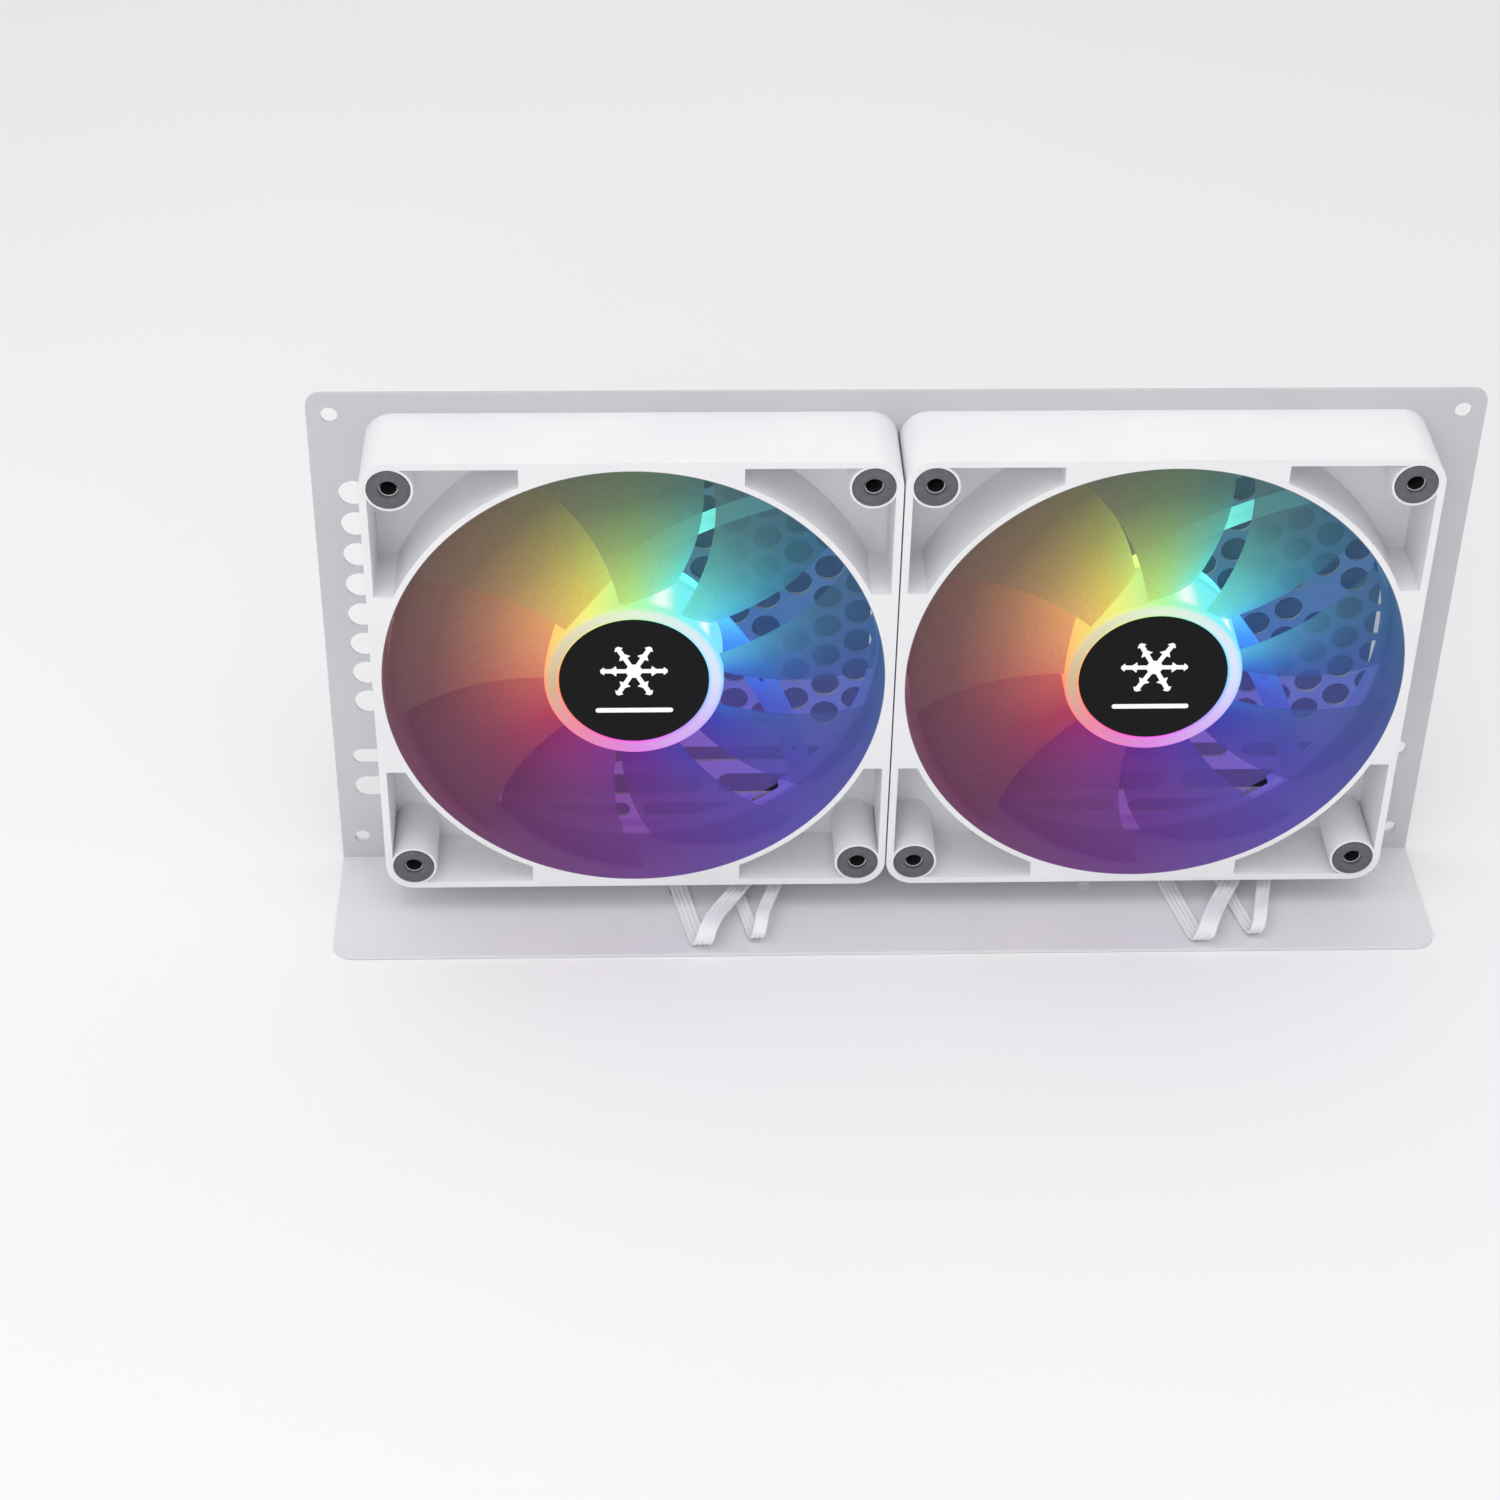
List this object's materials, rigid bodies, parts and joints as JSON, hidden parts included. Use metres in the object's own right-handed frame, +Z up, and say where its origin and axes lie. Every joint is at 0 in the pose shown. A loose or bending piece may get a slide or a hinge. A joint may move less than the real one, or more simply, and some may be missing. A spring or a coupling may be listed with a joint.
{
  "type": "twin fan cooling unit",
  "caption": "Square axial cooling fans with lit hubs, screwed side by side to a perforated steel panel with a folded foot; flat ribbon leads end in plugs.",
  "frame": {"origin": "on the floor plane, midway between the fans and midway in the depth from the foot's front edge to the screw heads", "axes": "+X across both fans to the viewer's right as seen from the front, +Y from the fans' front towards the panel, +Z up"},
  "size_m": [0.31, 0.103, 0.156],
  "materials": {
    "painted_panel": "satin powder coat",
    "frame_plastic": "fine matt moulding",
    "pad_rubber": "matt",
    "black_steel": "black zinc",
    "filter_mesh": "fine woven mesh",
    "label": "satin film",
    "bearing_brass": "sintered",
    "natural_nylon": "satin",
    "circuit_board": "solder mask",
    "light_board": "white solder mask",
    "led_lens": "clear resin",
    "lamination_steel": "stacked sheets",
    "copper_wire": "enamelled",
    "blade_plastic": "frosted translucent, lit from the hub",
    "badge_plastic": "polished black",
    "bare_steel": "drawn",
    "ferrite": "bonded magnet",
    "lead_jacket": "soft white",
    "plug_plastic": "satin white",
    "emblem_print": "pad print",
    "contact_brass": "plated"
  },
  "bodies": {
    "housing": {"grille_panel": "painted_panel", "foot_rail": "painted_panel", "rail_rivets": "painted_panel", "left_frame": "frame_plastic", "left_front_pads": "pad_rubber", "left_rear_pads": "pad_rubber", "left_screws": "black_steel", "left_filter": "filter_mesh", "left_rear_label": "label", "left_bearing_sleeve": "bearing_brass", "left_thrust_cap": "natural_nylon", "left_motor_board": "circuit_board", "left_light_board": "light_board", "left_leds": "led_lens", "left_stator_core": "lamination_steel", "left_insulators": "natural_nylon", "left_windings": "copper_wire", "left_motor_lead": "lead_jacket", "left_motor_coil": "lead_jacket", "left_motor_plug": "plug_plastic", "left_light_lead": "lead_jacket", "left_light_coil": "lead_jacket", "left_light_plug": "plug_plastic", "right_frame": "frame_plastic", "right_front_pads": "pad_rubber", "right_rear_pads": "pad_rubber", "right_screws": "black_steel", "right_filter": "filter_mesh", "right_rear_label": "label", "right_bearing_sleeve": "bearing_brass", "right_thrust_cap": "natural_nylon", "right_motor_board": "circuit_board", "right_light_board": "light_board", "right_leds": "led_lens", "right_stator_core": "lamination_steel", "right_insulators": "natural_nylon", "right_windings": "copper_wire", "right_motor_lead": "lead_jacket", "right_motor_coil": "lead_jacket", "right_motor_plug": "plug_plastic", "right_light_lead": "lead_jacket", "right_light_coil": "lead_jacket", "right_light_plug": "plug_plastic"},
    "left_rotor": {"left_impeller": "blade_plastic", "left_hub_badge": "badge_plastic", "left_rotor_yoke": "bare_steel", "left_magnet_ring": "ferrite", "left_shaft": "bare_steel", "left_lock_ring": "natural_nylon"},
    "right_rotor": {"right_impeller": "blade_plastic", "right_hub_badge": "badge_plastic", "right_rotor_yoke": "bare_steel", "right_magnet_ring": "ferrite", "right_shaft": "bare_steel", "right_lock_ring": "natural_nylon"}
  },
  "joints": [
    {"name": "left_rotor_spin", "type": "hinge", "parent": "housing", "child": "left_rotor", "pos_m": [-0.0702, 0, 0.08], "axis": [0, -1, 0], "continuous": true},
    {"name": "right_rotor_spin", "type": "hinge", "parent": "housing", "child": "right_rotor", "pos_m": [0.0702, 0, 0.08], "axis": [0, -1, 0], "continuous": true}
  ]
}
